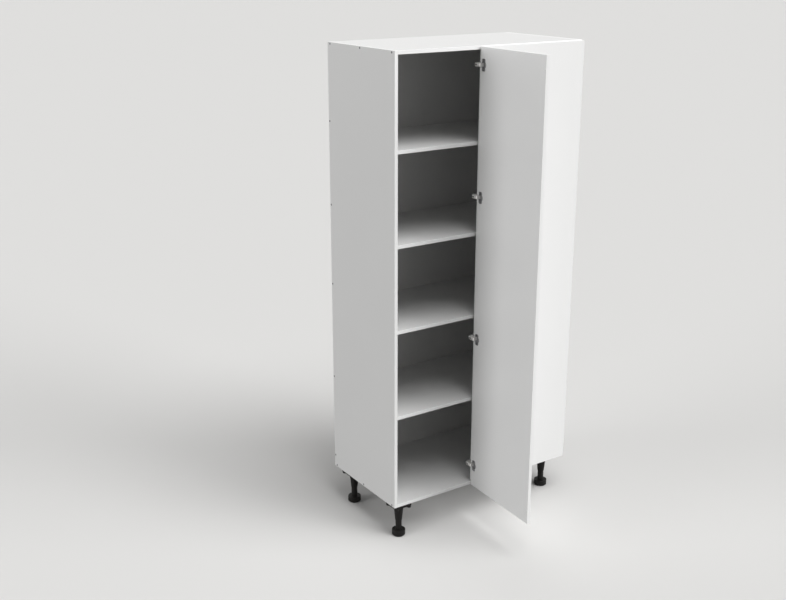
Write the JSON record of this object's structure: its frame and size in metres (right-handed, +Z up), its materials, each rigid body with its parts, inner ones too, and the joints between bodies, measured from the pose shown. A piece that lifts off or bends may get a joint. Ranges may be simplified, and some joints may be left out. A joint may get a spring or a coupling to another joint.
{
  "type": "tall blind corner cabinet",
  "caption": "Tall white kitchen corner cabinet: loose shelves behind a plain door on cup hinges, a fixed blind front beside it, on levelling legs.",
  "frame": {"origin": "on the floor, under the middle of the box that holds the cabinet and its open door", "axes": "+Z up, +Y to the back, +X to the right as seen from the front"},
  "size_m": [1.035, 1.001, 2.275],
  "materials": {
    "carcass_board": "white melamine, satin",
    "front_board": "white front board, smooth satin",
    "hinge_steel": "nickel-plated pressing",
    "arm_steel": "bright nickel-plated",
    "pin_steel": "zinc-plated",
    "screw_steel": "dark zinc-plated",
    "leg_plastic": "black moulded plastic",
    "dowel_wood": "plain beech",
    "bumper_plastic": "soft clear plastic"
  },
  "bodies": {
    "cabinet": {"left_side_panel": "carcass_board", "right_side_panel": "carcass_board", "top_panel": "carcass_board", "base_panel": "carcass_board", "back_panel": "carcass_board", "blind_panel": "carcass_board", "blind_front": "front_board", "shelf_pins_1": "pin_steel", "hinge_bracket_1": "hinge_steel", "hinge_arm_1": "arm_steel", "shelf_pins_2": "pin_steel", "hinge_bracket_2": "hinge_steel", "hinge_arm_2": "arm_steel", "shelf_pins_3": "pin_steel", "hinge_bracket_3": "hinge_steel", "hinge_arm_3": "arm_steel", "shelf_pins_4": "pin_steel", "hinge_bracket_4": "hinge_steel", "hinge_arm_4": "arm_steel", "front_left_leg_plate": "leg_plastic", "front_left_leg_stem": "leg_plastic", "front_right_leg_plate": "leg_plastic", "front_right_leg_stem": "leg_plastic", "back_left_leg_plate": "leg_plastic", "back_left_leg_stem": "leg_plastic", "back_right_leg_plate": "leg_plastic", "back_right_leg_stem": "leg_plastic", "left_side_screws": "screw_steel", "right_side_screws": "screw_steel", "base_screws": "screw_steel", "blind_front_screws": "screw_steel", "leg_screws": "screw_steel", "bracket_screws": "screw_steel", "arm_screws": "screw_steel", "top_dowels": "dowel_wood"},
    "door": {"door_panel": "front_board", "door_bumpers": "bumper_plastic", "cup_screws": "screw_steel", "hinge_cup_1": "hinge_steel", "hinge_pin_1": "pin_steel", "hinge_cup_2": "hinge_steel", "hinge_pin_2": "pin_steel", "hinge_cup_3": "hinge_steel", "hinge_pin_3": "pin_steel", "hinge_cup_4": "hinge_steel", "hinge_pin_4": "pin_steel"},
    "shelf_1": {"shelf_1": "carcass_board"},
    "shelf_2": {"shelf_2": "carcass_board"},
    "shelf_3": {"shelf_3": "carcass_board"},
    "shelf_4": {"shelf_4": "carcass_board"},
    "front_left_foot": {"front_left_foot": "leg_plastic"},
    "front_right_foot": {"front_right_foot": "leg_plastic"},
    "back_left_foot": {"back_left_foot": "leg_plastic"},
    "back_right_foot": {"back_right_foot": "leg_plastic"}
  },
  "joints": [
    {"name": "door_swing", "type": "hinge", "parent": "cabinet", "child": "door", "pos_m": [-0.0655, -0.0567, 0.175], "axis": [0, 0, 1], "range_deg": [-87.2, 10]},
    {"name": "shelf_1_lift", "type": "slide", "parent": "cabinet", "child": "shelf_1", "axis": [0, 0, 1], "range_m": [0, 0.03]},
    {"name": "shelf_2_lift", "type": "slide", "parent": "cabinet", "child": "shelf_2", "axis": [0, 0, 1], "range_m": [0, 0.03]},
    {"name": "shelf_3_lift", "type": "slide", "parent": "cabinet", "child": "shelf_3", "axis": [0, 0, 1], "range_m": [0, 0.03]},
    {"name": "shelf_4_lift", "type": "slide", "parent": "cabinet", "child": "shelf_4", "axis": [0, 0, 1], "range_m": [0, 0.03]},
    {"name": "front_left_foot_screw", "type": "slide", "parent": "cabinet", "child": "front_left_foot", "axis": [0, 0, 1], "range_m": [-0.025, 0.015]},
    {"name": "front_right_foot_screw", "type": "slide", "parent": "cabinet", "child": "front_right_foot", "axis": [0, 0, 1], "range_m": [-0.025, 0.015]},
    {"name": "back_left_foot_screw", "type": "slide", "parent": "cabinet", "child": "back_left_foot", "axis": [0, 0, 1], "range_m": [-0.025, 0.015]},
    {"name": "back_right_foot_screw", "type": "slide", "parent": "cabinet", "child": "back_right_foot", "axis": [0, 0, 1], "range_m": [-0.025, 0.015]}
  ]
}
